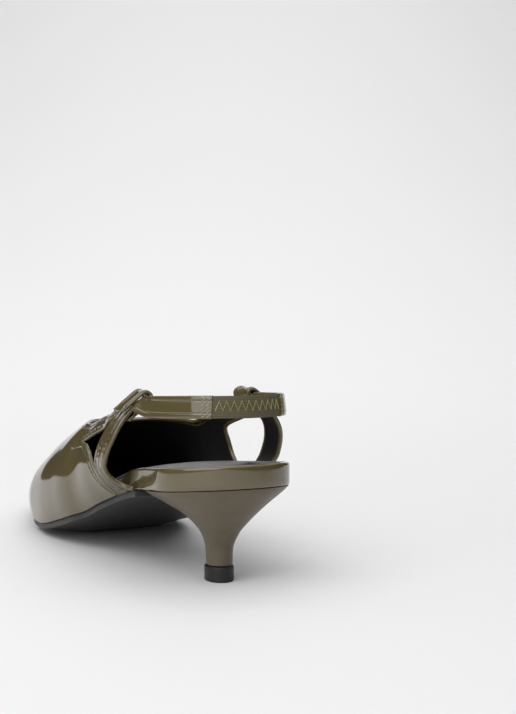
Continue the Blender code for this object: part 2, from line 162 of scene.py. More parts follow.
floor_mesh = bpy.data.meshes.new("floor")
bm.to_mesh(floor_mesh)
bm.free()
floor_mesh.shade_smooth()
floor = bpy.data.objects.new("floor", floor_mesh)
bpy.context.scene.collection.objects.link(floor)
paper = bpy.data.materials.new("paper")
paper.use_nodes = True
paper_finish = paper.node_tree.nodes["Principled BSDF"]
paper_finish.inputs["Base Color"].default_value = (0.84, 0.835, 0.84, 1.0)
paper_finish.inputs["Roughness"].default_value = 0.7
paper_finish.inputs["Specular IOR Level"].default_value = 0.2
floor_mesh.materials.append(paper)

SHOE = Vector((0.0, 0.08, 0.03))
LIGHTS = (
    # name, position, where it points, size, watts
    ("overhead", (-0.20, 0.16, 1.10), SHOE, 1.50, 2.2),
    ("left", (-0.80, -0.40, 0.62), SHOE, 1.30, 9.0),
    ("backdrop", (0.30, 0.60, 1.30), Vector((0.75, 1.60, 0.40)), 0.90, 6.0),
)
for name, spot, target, size, watts in LIGHTS:
    lamp = bpy.data.lights.new(name, "AREA")
    lamp.shape = "SQUARE"
    lamp.size = size
    lamp.energy = watts
    hung = bpy.data.objects.new(name, lamp)
    hung.location = spot
    hung.rotation_euler = (target - Vector(spot)).to_track_quat("-Z", "Y").to_euler()
    bpy.context.scene.collection.objects.link(hung)


# Upper: one shell of dark olive patent leather over a black lining, lasted under at
# the feather line and cut out at the throat and at both sides. Its cut edges are
# folded back and stitched down, which leaves a rolled rim and a groove beside it.
LENGTH = 0.250
BALL_WIDTH = 0.075
SEAT_WIDTH = 0.0545
SEAT_HEIGHT = 0.039
INSTEP = 0.077
TIP_FROM_BACK = 0.028
WALL = 0.0016
GAP = 0.0003
OUTSOLE = 0.0024
EDGE_RISE = 0.0030
MERGE = 0.00002
LIP = 0.55

PLAN = (
    # station, seat share, ball share, shift
    (0.000, 1.000, 0.000, 0.000),
    (0.120, 1.000, 0.000, 0.000),
    (0.200, 0.990, 0.000, 0.000),
    (0.280, 0.960, 0.000, -0.008),
    (0.360, 0.500, 0.362, -0.018),
    (0.440, 0.000, 0.785, -0.018),
    (0.520, 0.000, 0.905, 0.002),
    (0.600, 0.000, 0.980, 0.028),
    (0.660, 0.000, 1.000, 0.048),
    (0.740, 0.000, 0.915, 0.061),
    (0.810, 0.000, 0.780, 0.065),
    (0.880, 0.000, 0.625, 0.069),
    (0.940, 0.000, 0.478, 0.073),
    (1.000, 0.000, 0.330, 0.076),
)
BACK_ROUND = 0.115
TOE_ROUND = 0.080
TOE_BLUNT = 2.2
RISE_START = 0.380
RISE_FULL = 0.600
TOE_FROM = 0.850
TOE_FLAT = 0.80
FLAT_MIDDLE = 0.40
PROFILE = (
    # station, height of the board's underside as a share of the seat height
    (0.000, 1.000),
    (0.100, 0.930),
    (0.200, 0.856),
    (0.280, 0.735),
    (0.360, 0.560),
    (0.440, 0.360),
    (0.520, 0.165),
    (0.580, 0.045),
    (0.630, 0.000),
    (0.760, 0.000),
    (0.860, 0.038),
    (0.940, 0.090),
    (1.000, 0.150),
)
SECTIONS = (
    # station, bulge, widest, crest, arch
    (0.150, 0.160, 0.600, 1.005, 1.00),
    (0.240, 0.158, 0.580, 1.000, 1.00),
    (0.320, 0.095, 0.531, 0.926, 1.00),
    (0.400, 0.070, 0.453, 0.876, 0.98),
    (0.480, 0.050, 0.361, 0.800, 0.95),
    (0.580, 0.030, 0.258, 0.692, 0.92),
    (0.660, 0.022, 0.214, 0.577, 0.90),
    (0.760, 0.020, 0.170, 0.446, 0.90),
    (0.860, 0.018, 0.148, 0.325, 0.88),
    (0.940, 0.014, 0.146, 0.250, 0.86),
    (1.000, 0.010, 0.152, 0.205, 0.86),
)
VAMP_LATERAL = (
    # ahead, up: the topline to its peak and back under the forward strap
    (0.280, 0.335),
    (0.282, 0.394),
    (0.297, 0.444),
    (0.317, 0.510),
    (0.342, 0.577),
    (0.368, 0.609),
    (0.400, 0.622),
    (0.425, 0.610),
    (0.440, 0.601),
    (0.400, 0.645),
    (0.348, 0.702),
)
VAMP_MEDIAL = (
    # ahead, up: the inner side's topline
    (0.280, 0.335),
    (0.284, 0.394),
    (0.300, 0.450),
    (0.323, 0.505),
    (0.336, 0.555),
    (0.340, 0.620),
    (0.338, 0.675),
    (0.326, 0.715),
)
BAND_FRONT = (
    # ahead, up: the strap's lower edge and the band's front edge
    (0.290, 0.761),
    (0.240, 0.816),
    (0.232, 0.795),
    (0.232, 0.750),
    (0.245, 0.664),
    (0.257, 0.590),
    (0.266, 0.520),
    (0.271, 0.468),
    (0.275, 0.405),
    (0.277, 0.340),
)
BAND_REAR = (
    # ahead, up
    (0.186, 0.380),
    (0.195, 0.436),
    (0.216, 0.450),
    (0.223, 0.475),
    (0.222, 0.515),
    (0.216, 0.560),
    (0.208, 0.610),
    (0.200, 0.655),
    (0.190, 0.720),
    (0.187, 0.780),
    (0.187, 0.860),
    (0.187, 1.100),
)
THROAT = (
    # ahead, half width as a share of the ball width
    (0.100, 0.350),
    (0.188, 0.350),
    (0.236, 0.345),
    (0.292, 0.330),
    (0.348, 0.327),
    (0.400, 0.335),
    (0.448, 0.325),
    (0.492, 0.285),
    (0.528, 0.222),
    (0.556, 0.140),
    (0.570, 0.060),
    (0.573, 0.000),
)


def column(table, which, station):
    """Monotone cubic through one column of a table."""
    xs = [row[0] for row in table]
    ys = [row[which] for row in table]
    if station <= xs[0]:
        return ys[0]
    if station >= xs[-1]:
        return ys[-1]
    steps = [(ys[i + 1] - ys[i]) / (xs[i + 1] - xs[i]) for i in range(len(xs) - 1)]
    slopes = [steps[0]]
    for before, after in zip(steps, steps[1:]):
        slopes.append(0.0 if before * after <= 0 else 2 * before * after / (before + after))
    slopes.append(steps[-1])
    i = max(k for k in range(len(xs) - 1) if xs[k] <= station)
    span = xs[i + 1] - xs[i]
    t = (station - xs[i]) / span
    return ((1 + 2 * t) * (1 - t) ** 2 * ys[i] + t * (1 - t) ** 2 * span * slopes[i]
            + t * t * (3 - 2 * t) * ys[i + 1] + t * t * (t - 1) * span * slopes[i + 1])


def round_off(station):
    back = max(0.0, 1 - station / BACK_ROUND)
    toe = max(0.0, (station - 1 + TOE_ROUND) / TOE_ROUND)
    return math.sqrt(max(0.0, 1 - back * back)) * math.sqrt(max(0.0, 1 - toe ** TOE_BLUNT))


def half_width(station):
    seat = column(PLAN, 1, station) * SEAT_WIDTH / 2
    ball = column(PLAN, 2, station) * BALL_WIDTH / 2
    return (seat + ball) * round_off(station)


def middle(station):
    return column(PLAN, 3, station) * BALL_WIDTH


def underside(station):
    return OUTSOLE + GAP + column(PROFILE, 1, station) * (SEAT_HEIGHT - OUTSOLE - GAP)


def eased(value, low, high):
    share = min(1.0, max(0.0, (value - low) / (high - low)))
    return share * share * (3 - 2 * share)


def edge_rise(station, share):
    """The forefoot's sole is flat in its middle and rises to its edges, less so at the toe."""
    ahead = eased(station, RISE_START, RISE_FULL) * (1 - TOE_FLAT * eased(station, TOE_FROM, 1.0))
    return EDGE_RISE * ahead * eased(abs(share), FLAT_MIDDLE, 1.0)


def along(station):
    return station * LENGTH - TIP_FROM_BACK


def last_point(station, turn):
    """Outer face of the upper: turn runs from -1, lateral feather line, to 1, medial."""
    feather = half_width(station)
    toe = round_off(station)
    low = underside(station) + edge_rise(station, 1.0)
    wide = feather + column(SECTIONS, 1, station) * BALL_WIDTH * toe
    widest = column(SECTIONS, 2, station) * INSTEP
    crest = widest + (column(SECTIONS, 3, station) * INSTEP - widest) * toe
    arch = column(SECTIONS, 4, station)
    angle = -LIP + (math.pi / 2 + LIP) * (1 - abs(turn))
    if angle >= 0:
        out = wide * max(0.0, math.cos(angle)) ** arch
        up = widest + (crest - widest) * math.sin(angle) ** arch
    else:
        below = -angle / LIP
        out = feather + (wide - feather) * (1 - below * below)
        up = widest - (widest - low) * below
    side = -1 if turn < 0 else 1
    return Vector((middle(station) + side * out, along(station), up))


def stretch(points, parts):
    """Catmull-Rom curve through points, with so many parts to each span."""
    points = [Vector(point) for point in points]
    ends = [2 * points[0] - points[1]] + points + [2 * points[-1] - points[-2]]
    out = []
    for i in range(len(points) - 1):
        a, b, c, d = ends[i:i + 4]
        for k in range(parts):
            t = k / parts
            out.append(0.5 * (2 * b + (c - a) * t + (2 * a - 5 * b + 4 * c - d) * t * t
                              + (3 * b - a - 3 * c + d) * t ** 3))
    return out + [points[-1]]


def surface(rows, columns, place, marks=None):
    """Sheet of the form place(row share, column share), with marks(row share, column
    share) as named values at its points."""
    bm = bmesh.new()
    bmesh.ops.create_grid(bm, x_segments=columns, y_segments=rows, size=0.5)
    layers = {name: bm.verts.layers.float.new(name) for name in (marks(0.0, 0.0) if marks else ())}
    for vert in bm.verts:
        row, turn = vert.co.y + 0.5, vert.co.x + 0.5
        vert.co = place(row, turn)
        for name, layer in layers.items():
            vert[layer] = marks(row, turn)[name]
    bmesh.ops.remove_doubles(bm, verts=bm.verts, dist=MERGE)
    return bm


def capped(bm):
    """Closes the open ends of a sheet that is rolled into a tube."""
    bmesh.ops.holes_fill(bm, edges=[edge for edge in bm.edges if edge.is_boundary], sides=0)
    bmesh.ops.recalc_face_normals(bm, faces=bm.faces)
    return bm


def build(name, bm, *materials):
    mesh = bpy.data.meshes.new(name)
    bm.to_mesh(mesh)
    bm.free()
    for material in materials:
        mesh.materials.append(material)
    made = bpy.data.objects.new(name, mesh)
    bpy.context.scene.collection.objects.link(made)
    return made


def settle(made, degrees=35.0):
    """Applies a piece's modifiers and shades it smooth up to its sharp edges."""
    bpy.context.view_layer.update()
    graph = bpy.context.evaluated_depsgraph_get()
    mesh = bpy.data.meshes.new_from_object(made.evaluated_get(graph))
    made.modifiers.clear()
    made.data = mesh
    mesh.name = made.name
    mesh.shade_smooth()
    mesh.set_sharp_from_angle(angle=math.radians(degrees))
    return made


def solid_wall(made, thickness, offset, inner=0):
    wall = made.modifiers.new("wall", "SOLIDIFY")
    wall.thickness = thickness
    wall.offset = offset
    wall.use_even_offset = True
    wall.material_offset = inner


def soften(made, width, segments=2, degrees=40.0):
    soft = made.modifiers.new("soft", "BEVEL")
    soft.width = width
    soft.segments = segments
    soft.limit_method = "ANGLE"
    soft.angle_limit = math.radians(degrees)


def wears(made, slot, *nodes):
    """Every piece rides on the one body and stands for its nodes; its slot is not used."""
    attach(made, "root")
    if nodes:
        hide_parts(*nodes)


def blank(name):
    """A new material, its principled node and its object's own coordinates."""
    material = bpy.data.materials.new(name)
    material.use_nodes = True
    principled = material.node_tree.nodes["Principled BSDF"]
    return material, principled, Shade(material.node_tree).node("ShaderNodeTexCoord", output="Object")


def mottled(share, color, dark, light):
    """A colour between its dark and its light form."""
    return share.node("ShaderNodeMix", {"data_type": "RGBA"}, {
        "Factor": share, "A": (*[c * dark for c in color], 1.0),
        "B": (*[c * light for c in color], 1.0)}, 2)


def noise(at, scale, detail):
    return at.node("ShaderNodeTexNoise", None, {"Vector": at, "Scale": scale, "Detail": detail})


def finish(principled, color, height, depth, strength, roughness):
    """Links the colour and the relief, and links or sets the roughness."""
    bump = height.node("ShaderNodeBump", None, {
        "Height": height, "Distance": depth, "Strength": strength})
    links = height.tree.links
    links.new(color.socket, principled.inputs["Base Color"])
    links.new(bump.socket, principled.inputs["Normal"])
    if isinstance(roughness, Shade):
        links.new(roughness.socket, principled.inputs["Roughness"])
    else:
        principled.inputs["Roughness"].default_value = roughness


WAVES = 0.16                         # heights of the patent's forms, in mm
PEBBLE = 0.004
TURNED = 0.30                        # the turned edge stands above the face
GROOVE = 0.28
RIDGES = 0.55
BAND_RIDGES = 3
TURNED_ENDS = (1.35, 1.75)           # mm from the cut edge
GROOVE_STARTS = (1.65, 2.00)
GROOVE_ENDS = (2.05, 2.50)


def patent(name, color, gloss):
    """Patent leather: a dark base under a hard clear film, faintly waved. The turned edge,
    its stitch groove and the side bands' ridges are read from the mesh's own values."""
    material, principled, at = blank(name)
    waves = noise(at, 55.0, 1.0)
    pebble = noise(at, 700.0, 2.0)
    edge = at.node("ShaderNodeAttribute", {"attribute_name": "edge"}, output="Fac")
    turned = 1 - edge.ease(*TURNED_ENDS)
    groove = edge.ease(*GROOVE_STARTS) * (1 - edge.ease(*GROOVE_ENDS))
    band = at.node("ShaderNodeAttribute", {"attribute_name": "band"}, output="Fac")
    ridges = at.math("ABSOLUTE", at.math("SINE", band * (BAND_RIDGES * math.pi)))
    height = WAVES * waves + PEBBLE * pebble + TURNED * turned - GROOVE * groove + RIDGES * ridges
    finish(principled, mottled(waves, color, 1.0, 1.25), height, 0.001, 0.6, gloss + 0.05 * pebble)
    principled.inputs["IOR"].default_value = PATENT_IOR
    return material


def lining(name, color, roughness):
    """Close-grained lining leather."""
    material, principled, at = blank(name)
    grain = at.node("ShaderNodeTexVoronoi", None, {"Vector": at, "Scale": 1900.0})
    cloud = noise(at, 90.0, 3.0)
    finish(principled, mottled(cloud, color, 0.8, 1.2), grain, 0.0001, 0.5,
           roughness + 0.15 * (cloud - 0.5))
    return material


OLIVE = (0.092, 0.072, 0.030)
PATENT_IOR = 1.75
olive_patent = patent("olive_patent", OLIVE, 0.06)
black_lining = lining("black_lining", (0.012, 0.011, 0.012), 0.55)

UPPER_START = 0.160
BODY_ROWS = 130
NOSE_ROWS = 26
TURNS = 110
CUT_REACH = 0.080
CUT_PARTS = 8

nose = 1 - TOE_ROUND
body_share = BODY_ROWS / (BODY_ROWS + NOSE_ROWS)


def upper_place(row, turn):
    if row < body_share:
        station = UPPER_START + (nose - UPPER_START) * row / body_share
    else:
        station = nose + TOE_ROUND * math.sin(math.pi / 2 * (row - body_share) / (1 - body_share))
    return last_point(min(1.0, station), 2 * turn - 1)


def cutter(name, outline, direction):
    """Closed outline of points pushed along a direction."""
    bm = bmesh.new()
    face = bm.faces.new([bm.verts.new(point) for point in outline])
    pushed = bmesh.ops.extrude_face_region(bm, geom=[face])
    moved = [item for item in pushed["geom"] if isinstance(item, bmesh.types.BMVert)]
    bmesh.ops.translate(bm, verts=moved, vec=direction)
    bmesh.ops.recalc_face_normals(bm, faces=bm.faces)
    return build(name, bm)


def side_view(table, parts):
    return stretch([(0.0, along(ahead), up * INSTEP) for ahead, up in table], parts)


upper = build("upper_shell", surface(BODY_ROWS + NOSE_ROWS, TURNS, upper_place),
              olive_patent, black_lining)
solid_wall(upper, WALL, -1.0, 1)
reach = Vector((-CUT_REACH, 0, 0))
rear = [point + reach for point in side_view(BAND_REAR, CUT_PARTS)]
behind_all = along(UPPER_START) - CUT_REACH
rear += [Vector((-CUT_REACH, behind_all, rear[-1].z)), Vector((-CUT_REACH, behind_all, rear[0].z))]
half = stretch([(middle(ahead) + out * BALL_WIDTH, along(ahead), 0.0)
                for ahead, out in THROAT], CUT_PARTS)
other = [Vector((2 * middle((p.y + TIP_FROM_BACK) / LENGTH) - p.x, p.y, 0.0)) for p in half[:-1]]
cutters = [cutter("lateral", side_view(VAMP_LATERAL + BAND_FRONT, CUT_PARTS), reach),
           cutter("medial", side_view(VAMP_MEDIAL + BAND_FRONT, CUT_PARTS), -reach),
           cutter("rear", rear, -2 * reach),
           cutter("throat", half + other[::-1], Vector((0, 0, 2 * INSTEP)))]
for tool in cutters:
    opening = upper.modifiers.new(tool.name, "BOOLEAN")
    opening.operation = "DIFFERENCE"
    opening.solver = "EXACT"
    opening.object = tool
settle(upper)
for tool in cutters:
    bpy.data.objects.remove(tool, do_unlink=True)
wears(upper, "patent", "upper")


HALVINGS = 40
NEAR_CREST = 1e-6                    # the turn nearest the crest that still has a side


def face_point(station, side, high, short):
    """Point of the upper's outer face, down from its crest to where short turns false."""
    low = 0.0
    for _ in range(HALVINGS):
        turn = (low + high) / 2
        if short(last_point(station, side * turn)):
            low = turn
        else:
            high = turn
    return last_point(station, side * max((low + high) / 2, NEAR_CREST))


def at_height(station, side, height):
    return face_point(station, side, 1.0, lambda point: point.z > height)


def at_out(station, side, out):
    """A point above the widest line, at a distance from the middle."""
    return face_point(station, side, (math.pi / 2) / (math.pi / 2 + LIP),
                      lambda point: abs(point.x - middle(station)) < out)


STRAP_TOP = 0.0735
LOOP_TOP = 0.0709
STRAP_WIDTH = 0.0086
EDGE_PARTS = 6
EDGE_CLEAR = 0.0002                  # where an edge line ends above the feather line


def station_of(point):
    return (point.y + TIP_FROM_BACK) / LENGTH


def side_edge(table, side):
    points = []
    for point in side_view(table, EDGE_PARTS):
        station = station_of(point)
        if underside(station) + EDGE_CLEAR < point.z < LOOP_TOP:
            points.append(at_height(station, side, point.z))
    return points


throat_half = stretch([(out * BALL_WIDTH, along(ahead), 0.0) for ahead, out in THROAT[1:]], EDGE_PARTS)
cut_edges = []
for side, topline in ((-1, VAMP_LATERAL), (1, VAMP_MEDIAL)):
    cut_edges.append(side_edge(topline + BAND_FRONT, side))
    cut_edges.append(side_edge(BAND_REAR, side))
medial_throat = [at_out(station_of(p), 1, p.x) for p in throat_half]
lateral_throat = [at_out(station_of(p), -1, p.x) for p in throat_half]
cut_edges.append(lateral_throat + medial_throat[::-1][1:])


def tree_of(points):
    tree = KDTree(len(points))
    for index, point in enumerate(points):
        tree.insert(point, index)
    tree.balance()
    return tree


edge_tree = tree_of([point for line in cut_edges for point in line])
distance = upper.data.attributes.new("edge", "FLOAT", "POINT")
for vert in upper.data.vertices:
    distance.data[vert.index].value = edge_tree.find(vert.co)[2] * 1000

# The side bands carry soft ridges, read from the share of the way across them.
BAND_BROAD = 0.0145                  # the two edges' distances add up to less than this on a band
crossing = upper.data.attributes.new("band", "FLOAT", "POINT")
for front, back in ((cut_edges[0], cut_edges[1]), (cut_edges[2], cut_edges[3])):
    front_tree, back_tree = tree_of(front), tree_of(back)
    for vert in upper.data.vertices:
        ahead, behind = front_tree.find(vert.co)[2], back_tree.find(vert.co)[2]
        if ahead + behind < BAND_BROAD:
            crossing.data[vert.index].value = behind / (ahead + behind)

skin = bmesh.new()
skin.from_mesh(upper.data)
skin_tree = BVHTree.FromBMesh(skin)
skin.free()


def tube(name, lines, radius, material, resolution=3):
    """Round cords along lines of points, as one mesh."""
    route = bpy.data.curves.new(name, "CURVE")
    route.dimensions = "3D"
    route.bevel_depth = radius
    route.bevel_resolution = resolution
    route.use_fill_caps = True
    for line in lines:
        spline = route.splines.new("POLY")
        spline.points.add(len(line) - 1)
        for knot, point in zip(spline.points, line):
            knot.co = (*point, 1.0)
    drawn = bpy.data.objects.new(name + "_route", route)
    bpy.context.scene.collection.objects.link(drawn)
    bpy.context.view_layer.update()
    mesh = bpy.data.meshes.new_from_object(drawn.evaluated_get(bpy.context.evaluated_depsgraph_get()))
    bpy.data.objects.remove(drawn, do_unlink=True)
    bm = bmesh.new()
    bm.from_mesh(mesh)
    bmesh.ops.remove_doubles(bm, verts=bm.verts, dist=MERGE / 4)
    bm.to_mesh(mesh)
    bm.free()
    mesh.name = name
    mesh.materials.clear()
    mesh.materials.append(material)
    mesh.shade_smooth()
    made = bpy.data.objects.new(name, mesh)
    bpy.context.scene.collection.objects.link(made)
    return made


def even(line, step):
    """The line's points again, a fixed step apart."""
    out = [line[0]]
    left = step
    for a, b in zip(line, line[1:]):
        run = (b - a).length
        at = left
        while at <= run:
            out.append(a.lerp(b, at / run))
            at += step
        left = at - run
    return out


# Rolled rim: the leather folded over at each cut edge, a little fuller than the wall and
# centred just inside its middle, so that the edge reads as turned rather than cut.
RIM = 0.00095
RIM_STEP = 0.0011
RIM_SUNK = 0.55                      # of the wall
CORE = 0.040                         # height of the line that the wall faces away from


def facing_out(point):
    return (point - Vector((middle(station_of(point)), point.y, CORE))).normalized()


rims = [[point - facing_out(point) * WALL * RIM_SUNK for point in even(line, RIM_STEP)]
        for line in cut_edges]
rim = tube("upper_rim", rims, RIM, olive_patent)
wears(rim, "patent")

# Loops: the rear end of each side band is folded over the sling strap and down its
# inner face. The fold's two turned edges stand up as ridges with a soft dip between.
STRAP = 0.0020
STRAP_BACK = 0.0010
ELASTIC_LENGTH = 0.029
ELASTIC = 0.0012
LOOP_WALL = 0.0010
LOOP_LENGTH = 0.0120
LOOP_REACH = 0.0112
LOOP_SLACK = 0.0004
LOOP_FROM_BACK = 0.0515
LOOP_SLOPE = 0.64
LOOP_RIDGE = 0.00045
LOOP_EDGE = 0.16                     # a ridge's distance from the loop's end, as a share
RIDGE_SPREAD = 0.10


@functools.lru_cache(None)
def band_edges(station, side):
    """Upper and lower edge of the strap's line on the middle of the upper's wall."""
    top = at_height(station, side, LOOP_TOP)
    low = at_height(station, side, LOOP_TOP - STRAP_WIDTH * LOOP_SLOPE)
    up = (top - low).normalized()
    away = Vector((side * up.z, 0.0, -side * up.x))
    top = top - away * WALL / 2
    return top, top - up * STRAP_WIDTH, up, away


def loop_place(side):
    """The loop's middle face: outer leaf, fold, inner leaf."""
    off = STRAP / 2 + GAP + LOOP_SLACK + LOOP_WALL / 2
    straight = LOOP_REACH / (2 * LOOP_REACH + math.pi * off)

    def place(row, turn):
        ahead = LOOP_FROM_BACK + LOOP_LENGTH * (row - 0.5)
        top, low, up, away = band_edges(ahead / LENGTH, side)
        low = top - up * LOOP_REACH
        ridge = LOOP_RIDGE * (math.exp(-((row - LOOP_EDGE) / RIDGE_SPREAD) ** 2)
                              + math.exp(-((row - 1 + LOOP_EDGE) / RIDGE_SPREAD) ** 2))
        if turn < straight:
            share = turn / straight
            full = off + ridge * eased(share, 0.0, 0.5)
            return low.lerp(top, share) + away * full
        if turn > 1 - straight:
            return top.lerp(low, (turn - 1 + straight) / straight) - away * off
        bend = math.pi * (turn - straight) / (1 - 2 * straight)
        full = off + ridge * math.cos(bend / 2)
        return top + away * full * math.cos(bend) + up * full * math.sin(bend)

    return place


def loop_marks(row, turn):
    return {"edge": 1000 * LOOP_LENGTH * min(row, 1 - row)}


for name, side in (("loop_lateral", -1), ("loop_medial", 1)):
    loop = build(name + "_fold", surface(30, 60, loop_place(side), loop_marks), olive_patent)
    solid_wall(loop, LOOP_WALL, 0.0)
    soften(loop, 0.00028, 3)
    settle(loop)
    wears(loop, "patent", name)


# Sling strap: two lengths of patent leather from the loops, turning upright on their
# way round the heel, each turned under at its edges and stitched over the elastic.
STRAP_ROWS = 60
STRAP_BOW = 2.4
BACK_LEAN = 0.12
LEAN_FADE = 0.22
STRAP_SAG = 1.3
PILLOW = 0.42                        # squareness of the strap's section, through and across
FULL_EDGE = 0.8
END_SQUARE = 0.70

rear_edge = column([(up, ahead) for ahead, up in BAND_REAR], 1, LOOP_TOP / INSTEP)


def strap_middle(side):
    """Centre line of the strap with its lean, from a loop to the middle of the back."""
    top, low, up, away = band_edges(rear_edge - 2 * GAP / LENGTH, side)
    lean = math.atan2(abs(up.x), up.z)
    mid = (top + low) / 2
    ahead, out = mid.y - along(0.0) + STRAP_BACK, abs(mid.x)
    points = []
    for k in range(STRAP_ROWS + 1):
        turn = math.pi / 2 * k / STRAP_ROWS
        back = math.sin(turn) ** (2 / STRAP_BOW)
        y = along(0.0) - STRAP_BACK + ahead * (1 - back)
        x = side * out * math.cos(turn)
        leaning = lean * (BACK_LEAN + (1 - BACK_LEAN) * math.exp(-(back / LEAN_FADE) ** 2))
        edge = STRAP_TOP - (STRAP_TOP - LOOP_TOP) * (1 - back) ** STRAP_SAG
        points.append((Vector((x, y, edge - STRAP_WIDTH / 2 * math.cos(leaning))), leaning))
    return points


run = strap_middle(-1) + strap_middle(1)[::-1][1:]
lengths = [0.0]
for (before, _), (after, _) in zip(run, run[1:]):
    lengths.append(lengths[-1] + (after - before).length)
total = lengths[-1]
elastic_from = (total - ELASTIC_LENGTH) / 2


@functools.lru_cache(None)
def strap_at(distance):
    """Middle, outward and upward direction of the strap at a distance along it."""
    i = max(j for j in range(len(lengths) - 1) if lengths[j] <= distance + MERGE)
    share = (distance - lengths[i]) / (lengths[i + 1] - lengths[i])
    before, after = run[max(0, i - 1)][0], run[min(len(run) - 1, i + 2)][0]
    lean = run[i][1] + (run[i + 1][1] - run[i][1]) * share
    ahead = (after - before).normalized()
    outward = Vector((ahead.y, -ahead.x, 0.0)).normalized()
    rise = Vector((0, 0, 1))
    point = run[i][0].lerp(run[i + 1][0], share)
    return (point, outward * math.cos(lean) + rise * math.sin(lean),
            rise * math.cos(lean) - outward * math.sin(lean))


def fuller(value, power):
    return math.copysign(abs(value) ** power, value)


def band_place(start, end, width, thickness, rounded):
    """Closed section along the strap: flat faces, full edges, ends drawn in where rounded."""
    def place(row, turn):
        point, outward, up = strap_at(start + (end - start) * row)
        to_end = min(row if rounded != "end" else 1, 1 - row if rounded != "start" else 1)
        ends = min(1.0, (end - start) * to_end / thickness + END_SQUARE)
        across = fuller(math.sin(2 * math.pi * turn), FULL_EDGE) * width / 2
        through = fuller(math.cos(2 * math.pi * turn), PILLOW) * thickness / 2
        return point + up * across + outward * through * math.sin(math.pi / 2 * ends)

    return place


def band_marks(start, end, width):
    def marks(row, turn):
        across = fuller(math.sin(2 * math.pi * turn), FULL_EDGE)
        return {"edge": 1000 * width / 2 * (1 - abs(across)), "across": 1000 * width / 2 * across,
                "along": 1000 * (start + (end - start) * row)}

    return marks


leather_ends = (elastic_from - GAP, total - elastic_from + GAP)
for name, start, end, rounded in (("sling_lateral", 0.0, leather_ends[0], "end"),
                                  ("sling_medial", leather_ends[1], total, "start")):
    band = build(name + "_strap", capped(surface(
        130, 48, band_place(start, end, STRAP_WIDTH, STRAP, rounded),
        band_marks(start, end, STRAP_WIDTH))), olive_patent)
    settle(band, 50)
    wears(band, "patent", name)


# Elastic: ribbed olive webbing round the back between the leather ends, narrower and
# thinner than they are, with a zigzag of pale thread along its middle.
WEFT = 0.55                          # its spacing as a share of the ribs'


def webbing(name, color, thread):
    """Ribs along the webbing, crossed by fine weft, read from its own measures in mm."""
    material, principled, at = blank(name)
    across = at.node("ShaderNodeAttribute", {"attribute_name": "across"}, output="Fac")
    length = at.node("ShaderNodeAttribute", {"attribute_name": "along"}, output="Fac")
    rib = at.math("SINE", across * (2 * math.pi / thread))
    weft = at.math("SINE", length * (2 * math.pi / (thread * WEFT)))
    fuzz = noise(at, 1600.0, 2.0)
    # The colour follows the relief: painted shade darkens the hollows between ribs and weft, and
    # painted light brightens their tops, with a random fuzz besides.
    painted_rib_shade = (0.5 + 0.25 * rib + 0.15 * weft + 0.3 * (fuzz - 0.5)).ease(0.0, 1.0)
    finish(principled, mottled(painted_rib_shade, color, 0.5, 1.35), 0.5 * rib + 0.35 * weft + 0.6 * fuzz,
           0.00015, 1.0, 0.85)
    return material


def yarn(name, color, roughness=0.6):
    """Sewing thread: a fine twist across its length."""
    material, principled, at = blank(name)
    twist = at.node("ShaderNodeTexWave", {"bands_direction": "DIAGONAL"},
                    {"Vector": at, "Scale": 900.0, "Distortion": 1.5}, "Fac")
    # The colour follows the twist: painted shade darkens the hollows between its turns.
    finish(principled, mottled(twist, color, 0.75, 1.0), twist, 0.00006, 0.8, roughness)
    return material


ELASTIC_WIDTH = 0.0083
ZIGZAG = 0.0027                      # one full zigzag along the elastic
ZIGZAG_HEIGHT = 0.0036
ZIGZAG_ABOVE = 0.0004                # its middle above the elastic's
ZIGZAG_INSET = 0.001                 # from the elastic's ends
THREAD = 0.00024
THREAD_PROUD = 0.3                   # of the thread's radius, where it lies on a face
ELASTIC_PAST = 0.8                   # of the gap to the leather, which it reaches over

olive_webbing = webbing("olive_webbing", (0.130, 0.112, 0.064), 0.55)
pale_thread = yarn("pale_thread", (0.46, 0.41, 0.15))
olive_thread = yarn("olive_thread", (0.050, 0.043, 0.022), 0.75)
joint_thread = yarn("joint_thread", (0.420, 0.380, 0.240), 0.6)
elastic_end = total - elastic_from
past = GAP * ELASTIC_PAST
elastic = build("elastic_webbing", capped(surface(
    110, 40, band_place(elastic_from - past, elastic_end + past, ELASTIC_WIDTH, ELASTIC, "none"),
    band_marks(elastic_from, elastic_end, ELASTIC_WIDTH))), olive_webbing)
settle(elastic, 50)
wears(elastic, "elastic", "elastic_back")

zigzag = []
bends = int((ELASTIC_LENGTH - 2 * ZIGZAG_INSET) / (ZIGZAG / 2))
for k in range(bends + 1):
    point, outward, up = strap_at(elastic_from + ZIGZAG_INSET + k * ZIGZAG / 2)
    high = ZIGZAG_ABOVE + ZIGZAG_HEIGHT * (0.5 if k % 2 else -0.5)
    zigzag.append(point + up * high + outward * (ELASTIC / 2 + THREAD * THREAD_PROUD))
stitched = tube("elastic_zigzag", [zigzag], THREAD, pale_thread, 2)
wears(stitched, "elastic")

# Seat wrap: patent leather up the seat's edge, over its rim and a little way in over
# the sock, which draws a bright line round the top. It passes inside the side bands.
SEAT_EDGE = 0.0083
BOARD = 0.0030
SOCK = 0.0010
WRAP = 0.0011
BREAST = 0.050
PAD_END = 0.300
PAD_FADE = 0.520
WRAP_IN = 0.030
WRAP_PASSES = 0.185
WRAP_END = 0.300
WRAP_TAPER = 0.060
WRAP_DROP = 0.35
WRAP_LIP = 0.0023                    # how far the wrap reaches in over the sock
WRAP_ROLL = 0.0011                   # radius of its upper edge
WRAP_LIFT = 0.0004                   # its top above the sock
WRAP_LEAF = 0.0006                   # thickness of the lip
WRAP_FACE_PARTS = 6
WRAP_ROLL_PARTS = 8
WRAP_AHEAD = 0.004                   # how far along the wrap its direction is read


def pad_height(station):
    return SEAT_EDGE + (BOARD - SEAT_EDGE) * eased(station, PAD_END, PAD_FADE)


def wrap_inset(station):
    return (WALL + GAP) * eased(station, WRAP_IN, WRAP_PASSES)


